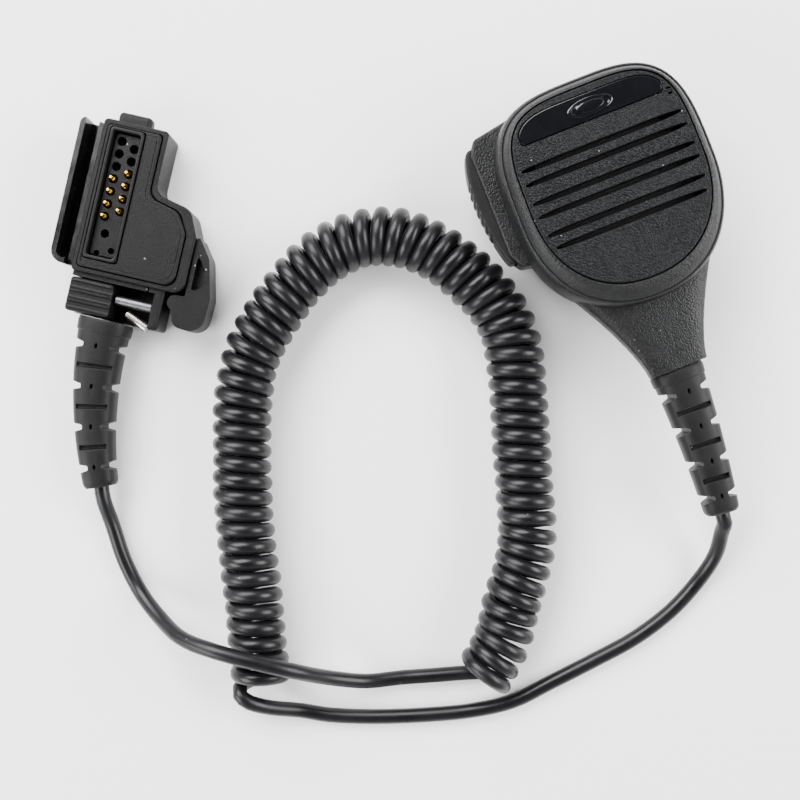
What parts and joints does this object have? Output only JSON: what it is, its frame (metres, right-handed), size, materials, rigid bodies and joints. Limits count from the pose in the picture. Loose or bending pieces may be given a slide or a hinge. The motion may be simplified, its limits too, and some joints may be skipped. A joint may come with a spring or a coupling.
{
  "type": "remote speaker microphone",
  "caption": "Handheld speaker microphone with a slotted grille, side key, swivelling belt clip and curly cord to a side connector with spring contacts.",
  "frame": {"origin": "under the middle of the microphone (top of the head to the end of its strain relief, key to right side), on the surface its belt clip rests on", "axes": "+Z out of the speaker grille, +Y towards the top of the head, +X towards the head's right side seen from the front"},
  "size_m": [0.1915, 0.1963, 0.0314],
  "materials": {
    "housing": "fine leather-grain moulding, semi-matt",
    "gloss_plate": "polished, near black",
    "dust_cloth": "fine woven cloth",
    "seal_rubber": "smooth satin rubber",
    "key_rubber": "matt rubber, ribbed",
    "boot_rubber": "matt moulded rubber",
    "cord_jacket": "satin polyurethane",
    "connector_plastic": "fine spark-eroded texture",
    "wing_plastic": "smooth moulded",
    "clip_plastic": "fine texture",
    "steel": "drawn and polished",
    "dark_steel": "blackened",
    "gold": "gold plated",
    "circuit_board": "green solder mask",
    "cone_paper": "pressed paper",
    "magnet": "plated"
  },
  "bodies": {
    "head": {"front_shell": "housing", "back_shell": "housing", "grille_panel": "housing", "name_plate": "gloss_plate", "plate_boss": "gloss_plate", "dust_mesh": "dust_cloth", "speaker_gasket": "seal_rubber", "speaker_frame": "dark_steel", "speaker_cone": "cone_paper", "speaker_magnet": "magnet", "circuit_board": "circuit_board", "mic_capsule": "dark_steel", "shell_gasket": "seal_rubber", "ptt_switch": "dark_steel", "cord_tail": "cord_jacket", "clip_screw": "steel", "mic_boot": "boot_rubber", "connector_boot": "boot_rubber", "cord_coil": "cord_jacket", "cord_mic_lead": "cord_jacket", "cord_plug_lead": "cord_jacket", "connector_shell": "connector_plastic", "connector_plate": "connector_plastic", "contact_block": "connector_plastic", "contact_gasket": "seal_rubber", "guide_wing": "wing_plastic", "gland_block": "connector_plastic", "lever_pin": "steel", "latch_shaft": "dark_steel", "connector_board": "circuit_board", "connector_screw_1": "dark_steel", "connector_screw_2": "dark_steel", "shell_screw_1": "dark_steel", "shell_screw_2": "dark_steel", "shell_screw_3": "dark_steel", "shell_screw_4": "dark_steel"},
    "ptt_key": {"ptt_button": "key_rubber"},
    "clip_jaw": {"clip_swivel": "clip_plastic", "clip_pin": "steel", "clip_spring": "steel"},
    "clip_thumb_lever": {"clip_lever": "clip_plastic"},
    "latch_arm": {"latch_lever": "connector_plastic"},
    "catch": {"catch_pin": "steel"},
    "pin_1": {"contact_pin_1": "gold"},
    "pin_2": {"contact_pin_2": "gold"},
    "pin_3": {"contact_pin_3": "gold"},
    "pin_4": {"contact_pin_4": "gold"},
    "pin_5": {"contact_pin_5": "gold"},
    "pin_6": {"contact_pin_6": "gold"},
    "pin_7": {"contact_pin_7": "gold"},
    "pin_8": {"contact_pin_8": "gold"}
  },
  "joints": [
    {"name": "ptt_press", "type": "slide", "parent": "head", "child": "ptt_key", "axis": [1, 0, 0], "range_m": [0, 0.0012], "stiffness_N_per_m": 1500, "springref_m": -0.0004},
    {"name": "clip_turn", "type": "hinge", "parent": "head", "child": "clip_jaw", "pos_m": [0.0034, 0.0343, 0.007], "axis": [0, 0, 1], "continuous": true},
    {"name": "clip_open", "type": "hinge", "parent": "clip_jaw", "child": "clip_thumb_lever", "pos_m": [0.0034, 0.0413, 0.0046], "axis": [1, 0, 0], "range_deg": [0, 20], "stiffness_Nm_per_rad": 0.6, "springref_deg": -20.05},
    {"name": "latch_turn", "type": "hinge", "parent": "head", "child": "latch_arm", "pos_m": [-0.11675, 0.04699, 0.002], "axis": [0, 0, -1], "range_deg": [0, 30]},
    {"name": "catch_slide", "type": "slide", "parent": "head", "child": "catch", "axis": [-0.5267, 0.8501, 0], "range_m": [0, 0.0015]},
    {"name": "pin_1_press", "type": "slide", "parent": "head", "child": "pin_1", "axis": [0, 0, -1], "range_m": [0, 0.0012], "stiffness_N_per_m": 400, "springref_m": -0.0005},
    {"name": "pin_2_press", "type": "slide", "parent": "head", "child": "pin_2", "axis": [0, 0, -1], "range_m": [0, 0.0012], "stiffness_N_per_m": 400, "springref_m": -0.0005},
    {"name": "pin_3_press", "type": "slide", "parent": "head", "child": "pin_3", "axis": [0, 0, -1], "range_m": [0, 0.0012], "stiffness_N_per_m": 400, "springref_m": -0.0005},
    {"name": "pin_4_press", "type": "slide", "parent": "head", "child": "pin_4", "axis": [0, 0, -1], "range_m": [0, 0.0012], "stiffness_N_per_m": 400, "springref_m": -0.0005},
    {"name": "pin_5_press", "type": "slide", "parent": "head", "child": "pin_5", "axis": [0, 0, -1], "range_m": [0, 0.0012], "stiffness_N_per_m": 400, "springref_m": -0.0005},
    {"name": "pin_6_press", "type": "slide", "parent": "head", "child": "pin_6", "axis": [0, 0, -1], "range_m": [0, 0.0012], "stiffness_N_per_m": 400, "springref_m": -0.0005},
    {"name": "pin_7_press", "type": "slide", "parent": "head", "child": "pin_7", "axis": [0, 0, -1], "range_m": [0, 0.0012], "stiffness_N_per_m": 400, "springref_m": -0.0005},
    {"name": "pin_8_press", "type": "slide", "parent": "head", "child": "pin_8", "axis": [0, 0, -1], "range_m": [0, 0.0012], "stiffness_N_per_m": 400, "springref_m": -0.0005}
  ],
  "couplings": [
    {"joint": "catch_slide", "follows": "latch_turn", "m_per_rad": 0.0028}
  ]
}
